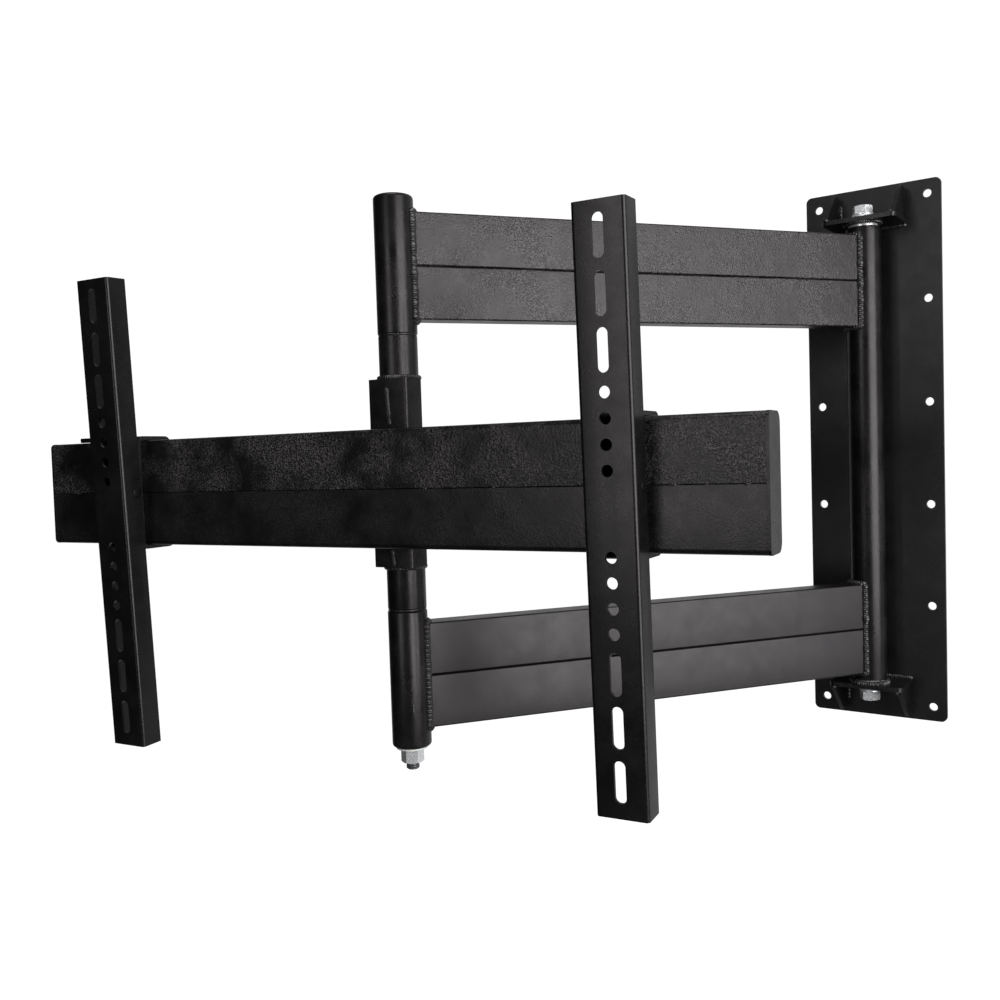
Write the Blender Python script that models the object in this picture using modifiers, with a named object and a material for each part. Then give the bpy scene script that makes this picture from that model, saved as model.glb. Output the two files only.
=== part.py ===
"""Full motion wall mount for a television, in metres, +Z up.

The wall plate's back face lies on y = 0, centred on the origin, and the mount reaches out to -Y.
Each moving body hangs on an empty that stands on its joint axis.
"""

from math import atan2, cos, pi, radians, sin, sqrt, tan

import bmesh
import bpy
from mathutils import Matrix, Vector

# Clearances
GAP = 0.0003                  # between pieces that touch

# Wall plate
PLATE_WIDE = 0.140
PLATE_TALL = 0.5724
PLATE_THICK = 0.004
PLATE_CORNER = 0.006
PLATE_HOLE = 0.0087
PLATE_HOLE_X = 0.0563
PLATE_HOLE_PITCH = 0.1085

# Ears and gussets
EAR_HALF = 0.037
EAR_REACH = 0.059
EAR_THICK = 0.0045
EAR_INNER = 0.242             # height of the ear's inner face
EAR_CORNER = 0.005
GUSSET_X = 0.034
GUSSET_THICK = 0.004
GUSSET_ROOT = 0.058           # reach at the ear
GUSSET_TIP = 0.024            # reach at the far end
GUSSET_TOP = 0.279

# Wall pivot
PIVOT_OUT = 0.0383            # axis in front of the wall
TUBE_RADIUS = 0.0177
TUBE_BORE = 0.0135
CENTRE_RADIUS = 0.0173        # the centre tube, a little slimmer than its sleeves
PIVOT_TUBE_TOP = 0.2373
PIVOT_TUBE_BOTTOM = -0.2380

# Fasteners
BOLT_RADIUS = 0.0060
CLEAR_BORE = 0.0064
HEX_ACROSS = 0.018
FLANGE_RADIUS = 0.0112
FLANGE_THICK = 0.0022
WASHER_RADIUS = 0.0130
WASHER_THICK = 0.0025

# Arms
ARM_LENGTH = 0.5043           # axis to axis
ARM_SWING = radians(180 + 54.455)
ARM_THICK = 0.023
ARM_TALL = 0.0475             # one tube, and each arm is two of them
ARM_WALL = 0.002
ARM_CORNER = 0.0016
ARM_INSIDE = 0.0008
UPPER_SEAM = 0.1810
LOWER_SEAM = -0.1830

# Outer pivot
UPPER_SLEEVE = (0.1214, 0.2428)
CENTRE_TUBE = (-0.1220, 0.1200)
LOWER_SLEEVE = (-0.2470, -0.1234)
SLEEVE_EDGE = 0.0030
END_WASHER = (0.0143, 0.0018)      # radius, thickness
THRUST_THICK = 0.0008

# Head
HEAD_TURN = radians(7.095)
BRACKET_WIDE = 0.0402
BRACKET_FRONT = 0.0201
BRACKET_BACK = 0.0040          # behind the axis
BRACKET_SHEET = 0.0020
BRACKET_TOP = 0.0817
BRACKET_BOTTOM = -0.0839
BAR_BACK = 0.0204
BAR_DEEP = 0.0337
BAR_TALL = 0.0507             # one tube of the two
BAR_CENTRE = -0.0134
BAR_LEFT = -0.3944
BAR_RIGHT = 0.3373
BAR_WALL = 0.002
BAR_CORNER = 0.0045
BAR_BACK_CORNER = 0.0085
BAR_SEAM_CORNER = 0.0012      # the corners where the two tubes meet
CAP_THICK = 0.0025
LUG = (-0.355, -0.339)
LUG_TALL = 0.0045
LUG_THICK = 0.003

# Saddles and rails
LEFT_AT = -0.2808
RIGHT_AT = 0.2295
SADDLE_WIDE = 0.0325
SADDLE_SHEET = 0.0036
SADDLE_SLIP = 0.0005
EAR_PLATE = 0.0035
PIN_OUT = 0.0120              # pin axis in front of the bar
PIN_RADIUS = 0.0040
NOSE = 0.0072
RAIL_WIDE = 0.0415
RAIL_DEEP = 0.0214
RAIL_TALL = 0.4472
RAIL_SHEET = 0.0025
RAIL_CORNER = 0.0030
RAIL_TILT = radians(2.277)
RAIL_FRONT = 0.01623          # web face in front of the pin
RAIL_CENTRE = -0.02057        # rail's middle below the pin
HOLE_LINE = -0.0007
HOLE_SHIFT = 0.0015
HOLE_SIZE = 0.0090
ROUND_HOLES = (0.0313, 0.0500, 0.0687, 0.0874)
SLOTS = (0.1171, 0.1567, 0.1973)
SLOT_LONG = 0.0320


# Shapes -----------------------------------------------------------------------------------------

def shift(x=0.0, y=0.0, z=0.0):
    return Matrix.Translation((x, y, z))


def circle(x, y, radius, steps=24):
    angles = [2 * pi * i / steps for i in range(steps)]
    return [(x + radius * cos(angle), y + radius * sin(angle)) for angle in angles]


def rounded(corners, radii, steps=3):
    """The polygon with each corner turned into an arc. A radius of 0 keeps the corner."""
    if not isinstance(radii, (list, tuple)):
        radii = [radii] * len(corners)
    loop = []
    for i, radius in enumerate(radii):
        here = Vector(corners[i])
        if radius == 0:
            loop.append(tuple(here))
            continue
        before = (Vector(corners[i - 1]) - here).normalized()
        after = (Vector(corners[(i + 1) % len(corners)]) - here).normalized()
        half = before.angle(after) / 2
        centre = here + (before + after).normalized() * radius / sin(half)
        first = here + before * radius / tan(half) - centre
        last = here + after * radius / tan(half) - centre
        start = atan2(first.y, first.x)
        sweep = (atan2(last.y, last.x) - start + pi) % (2 * pi) - pi
        for k in range(steps + 1):
            angle = start + sweep * k / steps
            loop.append((centre.x + radius * cos(angle), centre.y + radius * sin(angle)))
    return loop


def rectangle(wide, tall, radius=0.0, x=0.0, y=0.0, steps=3):
    w = wide / 2
    h = tall / 2
    return rounded([(x - w, y - h), (x + w, y - h), (x + w, y + h), (x - w, y + h)], radius, steps)


def slot(x, y, tall, wide):
    return rectangle(wide, tall, wide * 0.495, x, y, 4)


def finished(mesh):
    bm = bmesh.new()
    bm.from_mesh(mesh)
    bmesh.ops.remove_doubles(bm, verts=bm.verts, dist=1e-6)
    bmesh.ops.recalc_face_normals(bm, faces=bm.faces)
    bm.to_mesh(mesh)
    bm.free()
    mesh.shade_smooth()
    mesh.set_sharp_from_angle(angle=radians(35))
    return mesh


def scratch(data, matrix=None):
    obj = bpy.data.objects.new("scratch", data)
    obj.matrix_world = matrix or Matrix()
    bpy.context.scene.collection.objects.link(obj)
    return obj


def evaluated(obj):
    bpy.context.view_layer.update()
    graph = bpy.context.evaluated_depsgraph_get()
    mesh = bpy.data.meshes.new_from_object(obj.evaluated_get(graph))
    bpy.data.objects.remove(obj)
    return finished(mesh)


def outline(loop, depth, holes=()):
    """A flat outline with holes, in local XY, thickened by depth about z = 0."""
    curve = bpy.data.curves.new("outline", "CURVE")
    curve.dimensions = "2D"
    curve.fill_mode = "BOTH"
    curve.extrude = depth / 2
    for points in (loop, *holes):
        spline = curve.splines.new("POLY")
        spline.points.add(len(points) - 1)
        for point, (x, y) in zip(spline.points, points):
            point.co = (x, y, 0, 1)
        spline.use_cyclic_u = True
    return evaluated(scratch(curve))


def turned(profile, ring=True, steps=40):
    """A profile of (radius, z), down the outer side first, turned about Z. A ring's is a closed loop."""
    mesh = bpy.data.meshes.new("profile")
    count = len(profile)
    edges = [(i, (i + 1) % count) for i in range(count if ring else count - 1)]
    mesh.from_pydata([(r, 0, z) for r, z in profile], edges, [])
    obj = scratch(mesh)
    screw = obj.modifiers.new("turn", "SCREW")
    screw.angle = 2 * pi
    screw.steps = steps
    screw.render_steps = steps
    screw.use_merge_vertices = True
    screw.merge_threshold = 1e-5
    return evaluated(obj)


def tube(radius, bore, bottom, top, edge=0.0005, steps=40):
    return turned([(radius - edge, top), (radius, top - edge), (radius, bottom + edge),
                   (radius - edge, bottom), (bore, bottom), (bore, top)], steps=steps)


def collar(radius, bore, bottom, top, steps=24):
    return turned([(radius, top), (radius, bottom), (bore, bottom), (bore, top)], steps=steps)


def sleeve_edge(z, outward):
    """A sleeve's rounded outer edge, from the flat side to the wall."""
    third = 0.3 * SLEEVE_EDGE
    return [(TUBE_RADIUS - SLEEVE_EDGE, z), (TUBE_RADIUS - third, z - outward * third),
            (TUBE_RADIUS, z - outward * SLEEVE_EDGE)]


def disc(radius, bottom, top, edge=0.0005, steps=24):
    return turned([(0, top), (radius - edge, top), (radius, top - edge), (radius, bottom + edge),
                   (radius - edge, bottom), (0, bottom)], ring=False, steps=steps)


def combined(mesh, other, operation, matrix=None):
    obj = scratch(mesh)
    tool = scratch(other, matrix)
    boolean = obj.modifiers.new("combine", "BOOLEAN")
    boolean.operation = operation
    boolean.solver = "EXACT"
    boolean.object = tool
    result = evaluated(obj)
    bpy.data.objects.remove(tool)
    return result


def hexagon(across, bottom, top):
    """A hexagonal prism with the corners of both ends turned off."""
    mesh = bpy.data.meshes.new("hexagon")
    bm = bmesh.new()
    bmesh.ops.create_cone(bm, cap_ends=True, segments=6, radius1=across / sqrt(3),
                          radius2=across / sqrt(3), depth=top - bottom + 0.002,
                          matrix=shift(0, 0, (top + bottom) / 2))
    bm.to_mesh(mesh)
    bm.free()
    inner = across / 2 - 0.0003
    outer = across / sqrt(3) + 0.0006
    slope = (outer - inner) * 0.5
    turning = turned([(0, top), (inner, top), (outer, top - slope),
                      (outer, bottom + slope), (inner, bottom),
                      (0, bottom)], ring=False, steps=30)
    return combined(mesh, turning, "INTERSECT")


def flanged_hexagon(bottom, top):
    """A hexagon whose lower end widens into a flange."""
    flange = disc(FLANGE_RADIUS, bottom, bottom + FLANGE_THICK, 0.0006, 32)
    return combined(hexagon(HEX_ACROSS, bottom + 0.0003, top), flange, "UNION")


# Placing ----------------------------------------------------------------------------------------

def axes(x, y, z, at=(0, 0, 0)):
    """The matrix whose local X, Y and Z run along the three given directions."""
    return Matrix.Translation(at) @ Matrix((x, y, z)).transposed().to_4x4()


def material(name, colour, metallic, roughness):
    mat = bpy.data.materials.new(name)
    mat.use_nodes = True
    shader = mat.node_tree.nodes["Principled BSDF"]
    shader.inputs["Base Color"].default_value = (*colour, 1)
    shader.inputs["Metallic"].default_value = metallic
    shader.inputs["Roughness"].default_value = roughness
    return mat


def empty(name, parent, matrix):
    obj = bpy.data.objects.new(name, None)
    obj.empty_display_size = 0.03
    obj.parent = parent
    obj.matrix_local = matrix
    parts.objects.link(obj)
    return obj


def node(name, mesh, mat, parent=None, matrix=None):
    mesh.name = name
    if not mesh.materials:
        mesh.materials.append(mat)
    obj = bpy.data.objects.new(name, mesh)
    obj.parent = parent
    obj.matrix_local = matrix or Matrix()
    parts.objects.link(obj)
    return obj


for obj in list(bpy.data.objects):
    bpy.data.objects.remove(obj)
parts = bpy.data.collections.new("full motion tv wall mount")
bpy.context.scene.collection.children.link(parts)

BLACK = material("black powder coat", (0.022, 0.022, 0.024), 0.0, 0.42)
ZINC = material("zinc plate", (0.62, 0.63, 0.64), 1.0, 0.32)
NYLON = material("white nylon", (0.80, 0.80, 0.77), 0.0, 0.45)
STEEL = material("dark steel", (0.10, 0.10, 0.11), 1.0, 0.45)

X = (1, 0, 0)
Y = (0, 1, 0)
Z = (0, 0, 1)
UPRIGHT = axes(X, Z, (0, -1, 0))      # outline in XZ, thickness along Y
SIDEWAYS = axes(Y, Z, X)              # outline in YZ, thickness along X

# Wall frame -------------------------------------------------------------------------------------

plate_holes = []
for column in (-PLATE_HOLE_X, PLATE_HOLE_X):
    for row in range(6):
        plate_holes.append(circle(column, (row - 2.5) * PLATE_HOLE_PITCH, PLATE_HOLE / 2, 16))
plate = outline(rectangle(PLATE_WIDE, PLATE_TALL, PLATE_CORNER), PLATE_THICK, plate_holes)
node("wall_plate", plate, BLACK, matrix=shift(0, -PLATE_THICK / 2, 0) @ UPRIGHT)

EAR_ROOT = -PLATE_THICK - GAP
ear = outline(rounded([(-EAR_HALF, EAR_ROOT), (-EAR_HALF, -EAR_REACH), (EAR_HALF, -EAR_REACH),
                       (EAR_HALF, EAR_ROOT)], [0, EAR_CORNER, EAR_CORNER, 0]),
              EAR_THICK, [circle(0, -PIVOT_OUT, CLEAR_BORE)])
ear_top = EAR_INNER + EAR_THICK
gusset = outline(rounded([(EAR_ROOT, ear_top + GAP), (-GUSSET_ROOT, ear_top + GAP),
                          (-GUSSET_TIP, GUSSET_TOP), (EAR_ROOT, GUSSET_TOP)],
                         [0, 0.001, 0.002, 0]), GUSSET_THICK)
FLIP = Matrix.Rotation(pi, 4, "Y")
for side, turn in (("upper", Matrix()), ("lower", FLIP)):
    ear_z = EAR_INNER + EAR_THICK / 2
    node(side + "_ear", ear, BLACK, matrix=turn @ shift(0, 0, ear_z))
    for hand, x in (("left", -GUSSET_X), ("right", GUSSET_X)):
        x = x if side == "upper" else -x
        node(side + "_gusset_" + hand, gusset, BLACK, matrix=turn @ shift(x, 0, 0) @ SIDEWAYS)

WALL_AXIS = shift(0, -PIVOT_OUT, 0)
washer = collar(WASHER_RADIUS, CLEAR_BORE, 0, WASHER_THICK, 32)
node("upper_pivot_washer", washer, ZINC, matrix=WALL_AXIS @ shift(0, 0, ear_top + GAP))
node("lower_pivot_washer", washer, ZINC,
     matrix=WALL_AXIS @ shift(0, 0, -ear_top - GAP - WASHER_THICK))
seat = ear_top + WASHER_THICK + 2 * GAP
TURNED = Matrix.Rotation(radians(27), 4, "Z")
nut = combined(flanged_hexagon(0, 0.0115), disc(CLEAR_BORE, -0.01, 0.02), "DIFFERENCE")
node("wall_pivot_nut", nut, ZINC, matrix=WALL_AXIS @ shift(0, 0, -seat) @ FLIP @ TURNED)
wall_shank = disc(BOLT_RADIUS, -seat - 0.0110, seat + 0.001, 0.001)
wall_bolt = combined(flanged_hexagon(seat, seat + 0.0108), wall_shank, "UNION")
node("wall_pivot_bolt", wall_bolt, ZINC, matrix=WALL_AXIS @ TURNED)

# Arms -------------------------------------------------------------------------------------------

arm_axis = empty("arm_axis", None, WALL_AXIS @ Matrix.Rotation(ARM_SWING, 4, "Z"))
OUTER_AXIS = shift(ARM_LENGTH, 0, 0)

node("wall_pivot_tube", tube(TUBE_RADIUS, TUBE_BORE, PIVOT_TUBE_BOTTOM, PIVOT_TUBE_TOP), BLACK, arm_axis)
bush_flange = (PIVOT_TUBE_TOP + GAP, EAR_INNER - 0.0013)
bush = turned([(0.0148, bush_flange[1]), (0.0148, bush_flange[0]), (TUBE_BORE - GAP, bush_flange[0]),
               (TUBE_BORE - GAP, bush_flange[0] - 0.016), (CLEAR_BORE, bush_flange[0] - 0.016),
               (CLEAR_BORE, bush_flange[1])], steps=28)
node("wall_bush_upper", bush, ZINC, arm_axis)
node("wall_bush_lower", bush, ZINC, arm_axis, shift(0, 0, -0.0007) @ Matrix.Rotation(pi, 4, "X"))

arm_tube = outline(rectangle(ARM_THICK, ARM_TALL - GAP, ARM_CORNER), ARM_LENGTH,
                   [rectangle(ARM_THICK - 2 * ARM_WALL, ARM_TALL - GAP - 2 * ARM_WALL, ARM_INSIDE)])
arm_tube.transform(shift(ARM_LENGTH / 2, 0, 0) @ SIDEWAYS)
coping = disc(TUBE_RADIUS + GAP, -0.06, 0.06, steps=48)
arm_tube = combined(arm_tube, coping, "DIFFERENCE")
arm_tube = combined(arm_tube, coping, "DIFFERENCE", OUTER_AXIS)
for side, seam in (("upper", UPPER_SEAM), ("lower", LOWER_SEAM)):
    for level, lift in (("top", ARM_TALL / 2), ("bottom", -ARM_TALL / 2)):
        node(side + "_arm_" + level + "_tube", arm_tube, BLACK, arm_axis, shift(0, 0, seam + lift))

top = UPPER_SLEEVE[1]
node("upper_sleeve",
     turned(sleeve_edge(top, 1) + [(TUBE_RADIUS, UPPER_SLEEVE[0]), (TUBE_BORE, UPPER_SLEEVE[0]),
                                   (TUBE_BORE, top)]),
     BLACK, arm_axis, OUTER_AXIS)
node("sleeve_top_plate", disc(TUBE_BORE - GAP, top - 0.0035, top), BLACK, arm_axis, OUTER_AXIS)
low = LOWER_SLEEVE[0]
node("lower_sleeve",
     turned([(TUBE_RADIUS - 0.0015, LOWER_SLEEVE[1]), (TUBE_RADIUS, LOWER_SLEEVE[1] - 0.0015)]
            + sleeve_edge(low, -1)[::-1]
            + [(CLEAR_BORE, low), (CLEAR_BORE, low + 0.004), (TUBE_BORE, low + 0.004),
               (TUBE_BORE, LOWER_SLEEVE[1])]),
     BLACK, arm_axis, OUTER_AXIS)
end_washer = collar(END_WASHER[0], CLEAR_BORE, low - GAP - END_WASHER[1], low - GAP, 40)
node("lower_nylon_washer", end_washer, NYLON, arm_axis, OUTER_AXIS)
nut_top = low - 2 * GAP - END_WASHER[1]
outer_nut = combined(hexagon(HEX_ACROSS, nut_top - 0.0125, nut_top), disc(CLEAR_BORE, nut_top - 0.02, 0),
                     "DIFFERENCE")
node("outer_pivot_nut", outer_nut, ZINC, arm_axis, OUTER_AXIS @ Matrix.Rotation(radians(12), 4, "Z"))
head_at = 0.2200
outer_bolt = combined(hexagon(HEX_ACROSS, head_at, head_at + 0.0075),
                      disc(BOLT_RADIUS, nut_top - 0.0188, head_at + 0.001, 0.001), "UNION")
node("outer_pivot_bolt", outer_bolt, STEEL, arm_axis, OUTER_AXIS)
inner_bush = collar(TUBE_BORE - GAP, CLEAR_BORE, 0, 0.016)
node("upper_sleeve_bush", inner_bush, NYLON, arm_axis,
     OUTER_AXIS @ shift(0, 0, head_at - GAP - 0.016))
node("lower_sleeve_bush", inner_bush, NYLON, arm_axis,
     OUTER_AXIS @ shift(0, 0, low + 0.004 + GAP))

# Head -------------------------------------------------------------------------------------------

head_axis = empty("head_axis", arm_axis, OUTER_AXIS @ Matrix.Rotation(HEAD_TURN - ARM_SWING, 4, "Z"))
node("centre_tube", tube(CENTRE_RADIUS, TUBE_BORE, *CENTRE_TUBE), BLACK, head_axis)
node("centre_bush_upper", inner_bush, NYLON, head_axis, shift(0, 0, CENTRE_TUBE[1] - 0.016))
node("centre_bush_lower", inner_bush, NYLON, head_axis, shift(0, 0, CENTRE_TUBE[0]))
thrust = collar(TUBE_RADIUS - 0.0012, CLEAR_BORE, 0, THRUST_THICK, 32)
node("upper_thrust_washer", thrust, NYLON, head_axis, shift(0, 0, CENTRE_TUBE[1] + GAP))
node("lower_thrust_washer", thrust, NYLON, head_axis,
     shift(0, 0, CENTRE_TUBE[0] - GAP - THRUST_THICK))

half = BRACKET_WIDE / 2
inside = half - BRACKET_SHEET
bracket = outline(rounded([(-half, BRACKET_BACK), (-half, -BRACKET_FRONT), (half, -BRACKET_FRONT),
                           (half, BRACKET_BACK), (inside, BRACKET_BACK),
                           (inside, -BRACKET_FRONT + BRACKET_SHEET),
                           (-inside, -BRACKET_FRONT + BRACKET_SHEET), (-inside, BRACKET_BACK)],
                          [0, 0.0026, 0.0026, 0, 0, 0.0006, 0.0006, 0]), BRACKET_TOP - BRACKET_BOTTOM)
node("centre_bracket", bracket, BLACK, head_axis,
     shift(0, 0, (BRACKET_TOP + BRACKET_BOTTOM) / 2))

bar_y = -BAR_BACK - BAR_DEEP / 2
bar_long = BAR_RIGHT - BAR_LEFT - 2 * (CAP_THICK + GAP)
bar_x = (BAR_RIGHT + BAR_LEFT) / 2
top_corners = [BAR_SEAM_CORNER, BAR_SEAM_CORNER, BAR_BACK_CORNER, BAR_CORNER]
bottom_corners = [BAR_CORNER, BAR_BACK_CORNER, BAR_SEAM_CORNER, BAR_SEAM_CORNER]
for level, lift, corners in (("upper", BAR_TALL / 2, top_corners),
                             ("lower", -BAR_TALL / 2, bottom_corners)):
    inner_corners = [max(corner - BAR_WALL, 0.001) for corner in corners]
    bar_tube = outline(rectangle(BAR_DEEP, BAR_TALL - GAP, corners), bar_long,
                       [rectangle(BAR_DEEP - 2 * BAR_WALL, BAR_TALL - GAP - 2 * BAR_WALL, inner_corners)])
    node("crossbar_" + level + "_tube", bar_tube, BLACK, head_axis,
         shift(bar_x, bar_y, BAR_CENTRE + lift) @ SIDEWAYS)
end_cap = outline(rectangle(BAR_DEEP, 2 * BAR_TALL,
                            [BAR_CORNER, BAR_BACK_CORNER, BAR_BACK_CORNER, BAR_CORNER]), CAP_THICK)
for hand, x in (("left", BAR_LEFT + CAP_THICK / 2), ("right", BAR_RIGHT - CAP_THICK / 2)):
    node("crossbar_cap_" + hand, end_cap, BLACK, head_axis, shift(x, bar_y, BAR_CENTRE) @ SIDEWAYS)
lug = outline(rectangle(LUG[1] - LUG[0], LUG_TALL, 0.001), LUG_THICK)
bar_top = BAR_CENTRE + BAR_TALL
node("left_stop_lug", lug, BLACK, head_axis,
     shift((LUG[0] + LUG[1]) / 2, -BAR_BACK - BAR_DEEP + BAR_CORNER + LUG_THICK / 2,
           bar_top + GAP + LUG_TALL / 2) @ UPRIGHT)

# Saddles, in a frame on the pin's axis ------------------------------------------------------------

near = PIN_OUT - SADDLE_SLIP                    # hole's front side, behind the pin
far = PIN_OUT + BAR_DEEP + SADDLE_SLIP          # hole's back side
over = BAR_TALL + SADDLE_SLIP
sheet = SADDLE_SHEET
saddle_hole = rounded([(near, -over), (far, -over), (far, over), (near, over)], BAR_CORNER)
saddle_loop = rounded([(near - sheet, -over - sheet), (far + sheet, -over - sheet),
                       (far + sheet, over + sheet), (near - sheet, over + sheet),
                       (near - sheet, 0.017), (-NOSE, NOSE), (-NOSE, -NOSE), (near - sheet, -0.017)],
                      [0.006, 0.008, 0.008, 0.006, 0.002, NOSE * 0.9, NOSE * 0.9, 0.002])
saddle = outline(saddle_loop, SADDLE_WIDE, [saddle_hole, circle(0, 0, PIN_RADIUS + GAP, 20)])
between = outline(rectangle(0.04, 0.06, 0, near - sheet - 0.02, 0), SADDLE_WIDE - 2 * EAR_PLATE)
saddle = combined(saddle, between, "DIFFERENCE")
pin = disc(PIN_RADIUS, -RAIL_WIDE / 2, RAIL_WIDE / 2, 0.0004, 20)

# Rails, in a frame on the pin's axis that leans with the rail --------------------------------------

w = RAIL_WIDE / 2
back = -RAIL_FRONT + RAIL_DEEP
web = -RAIL_FRONT + RAIL_SHEET
rail = outline(rounded([(-w, back), (-w, -RAIL_FRONT), (w, -RAIL_FRONT), (w, back), (w - RAIL_SHEET, back),
                        (w - RAIL_SHEET, web), (RAIL_SHEET - w, web), (RAIL_SHEET - w, back)],
                       [0, RAIL_CORNER, RAIL_CORNER, 0, 0, 0.0008, 0.0008, 0]), RAIL_TALL)
rail.transform(shift(0, 0, RAIL_CENTRE))
openings = []
for height in (*ROUND_HOLES, *SLOTS):
    for v in (height, -height):
        v += HOLE_SHIFT
        if height in SLOTS:
            openings.append(slot(HOLE_LINE, v, SLOT_LONG, HOLE_SIZE))
        else:
            openings.append(circle(HOLE_LINE, v, HOLE_SIZE / 2, 20))
punch = outline(openings[0], 0.01, openings[1:])
rail = combined(rail, punch, "DIFFERENCE", shift(0, -RAIL_FRONT, RAIL_CENTRE) @ UPRIGHT)
pin_bore = disc(PIN_RADIUS + GAP, -0.03, 0.03, steps=20)
rail = combined(rail, pin_bore, "DIFFERENCE", Matrix.Rotation(pi / 2, 4, "Y"))

for hand, at in (("left", LEFT_AT), ("right", RIGHT_AT)):
    slide = empty("slide_" + hand, head_axis,
                  shift(at, -BAR_BACK - BAR_DEEP - PIN_OUT, BAR_CENTRE))
    node("saddle_" + hand, saddle, BLACK, slide, SIDEWAYS)
    node("tilt_pin_" + hand, pin, STEEL, slide, Matrix.Rotation(pi / 2, 4, "Y"))
    lean = empty("tilt_" + hand, slide, Matrix.Rotation(RAIL_TILT, 4, "X"))
    node("rail_" + hand, rail, BLACK, lean)
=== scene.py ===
"""The looks of the full motion tv wall mount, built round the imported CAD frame.

Metres, +Z up. The wall plate's back is at y = 0, and the mount reaches out towards -Y.
"""

from math import asin, atan2, cos, pi, radians, sin, sqrt, tan

import bmesh
import bpy
from mathutils import Matrix, Vector, noise


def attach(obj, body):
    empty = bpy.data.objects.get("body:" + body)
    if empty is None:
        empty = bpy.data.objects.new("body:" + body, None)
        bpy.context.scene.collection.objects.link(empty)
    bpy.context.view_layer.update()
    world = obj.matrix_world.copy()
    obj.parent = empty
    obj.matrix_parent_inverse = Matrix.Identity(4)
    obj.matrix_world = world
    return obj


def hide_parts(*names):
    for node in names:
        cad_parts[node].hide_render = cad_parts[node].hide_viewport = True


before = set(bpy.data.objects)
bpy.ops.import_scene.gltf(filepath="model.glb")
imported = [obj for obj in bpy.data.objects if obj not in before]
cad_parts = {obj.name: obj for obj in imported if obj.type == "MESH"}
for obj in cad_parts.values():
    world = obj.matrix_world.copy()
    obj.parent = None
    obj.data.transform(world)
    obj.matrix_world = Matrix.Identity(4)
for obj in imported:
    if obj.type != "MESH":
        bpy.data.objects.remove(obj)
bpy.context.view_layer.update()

# Dimensions of the frame ----------------------------------------------------------------

GAP = 0.0003

PLATE_WIDE = 0.140
PLATE_TALL = 0.5724
PLATE_THICK = 0.004
PLATE_CORNER = 0.006
HOLE_OUT = 0.0563
HOLE_ROWS = 6
HOLE_PITCH = 0.1085
HOLE_RADIUS = 0.00435

PIVOT_Y = -0.0383
EAR_HALF = 0.037
EAR_ROOT = -0.0043
EAR_TIP = -0.059
EAR_TOP = 0.2465
EAR_THICK = 0.0045
EAR_CORNER = 0.005
EAR_WELD = EAR_TOP - EAR_THICK - 0.0004
GUSSET_X = 0.034
GUSSET_TIP = -0.058
GUSSET_BEND = -0.024
GUSSET_TOP = 0.279
GUSSET_THICK = 0.004

HEX_ACROSS = 0.018
CLEAR_BORE = 0.0064
BOLT_RADIUS = 0.0060
WASHER_THICK = 0.0025
WASHER_SEAT = EAR_TOP + WASHER_THICK + 2 * GAP

ARM_LENGTH = 0.5043
ARM_SWING = radians(180 + 54.455)
ARM_THICK = 0.023
ARM_TALL = 0.0475
UPPER_SEAM = 0.1810
LOWER_SEAM = -0.1830
TUBE_RADIUS = 0.0177
TUBE_BORE = 0.0135
WALL_TUBE_TOP = 0.2373
WALL_TUBE_BOTTOM = -0.2380
BUSH_BOTTOM = 0.2376
BUSH_TOP = 0.2407
BUSH_END = BUSH_BOTTOM - 0.016
SLEEVE_TOP = 0.2428
SLEEVE_BOTTOM = -0.2470
UPPER_SLEEVE_END = 0.1214
LOWER_SLEEVE_END = -0.1234
NYLON_THICK = 0.0018

HEAD_TURN = radians(7.095)
CENTRE_RADIUS = 0.0173
CENTRE_TOP = 0.1200
CENTRE_BOTTOM = -0.1220
THRUST_THICK = 0.0008
BRACKET_HALF = 0.0201
BRACKET_BACK = 0.004
BRACKET_SHEET = 0.002
BRACKET_TALL = 0.1656
BRACKET_CENTRE = -0.0011
BAR_BACK = 0.0204
BAR_DEEP = 0.0337
BAR_TALL = 0.0507
BAR_CENTRE = -0.0134
BAR_LEFT = -0.3944
BAR_RIGHT = 0.3373
BAR_CORNER = 0.0045
BAR_BACK_CORNER = 0.0085
BAR_SEAM_CORNER = 0.0006
BAR_FRONT = -BAR_BACK - BAR_DEEP
TUBE_WALL = 0.002
CAP_THICK = 0.0025
LUG_X = -0.347

PIN_OUT = 0.0120
PIN_RADIUS = 0.0040
PIN_BORE = 0.0043
SADDLE_PLAY = 0.0005
SADDLE_SHEET = 0.0036
SADDLE_WIDE = 0.0325
SADDLE_NOSE = 0.0072
NOSE_ROOT = 0.017
SLIDES = (("left", -0.2808), ("right", 0.2295))

RAIL_WIDE = 0.0415
RAIL_DEEP = 0.0214
RAIL_TALL = 0.4472
RAIL_SHEET = 0.0025
RAIL_TILT = radians(2.277)
RAIL_FRONT = 0.01623
RAIL_CENTRE = -0.02057
OPENING_X = -0.0007
OPENING_LIFT = 0.0015
OPENING_RADIUS = 0.0045
SLOT_TALL = 0.0320
ROUND_HOLES = (0.0313, 0.0500, 0.0687, 0.0874)
LONG_SLOTS = (0.1171, 0.1567, 0.1973)

X = (1, 0, 0)
Y = (0, 1, 0)
Z = (0, 0, 1)


def axes(x, y, z, at=(0, 0, 0)):
    return Matrix.Translation(at) @ Matrix((x, y, z)).transposed().to_4x4()


def shift(x=0.0, y=0.0, z=0.0):
    return Matrix.Translation((x, y, z))


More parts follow.
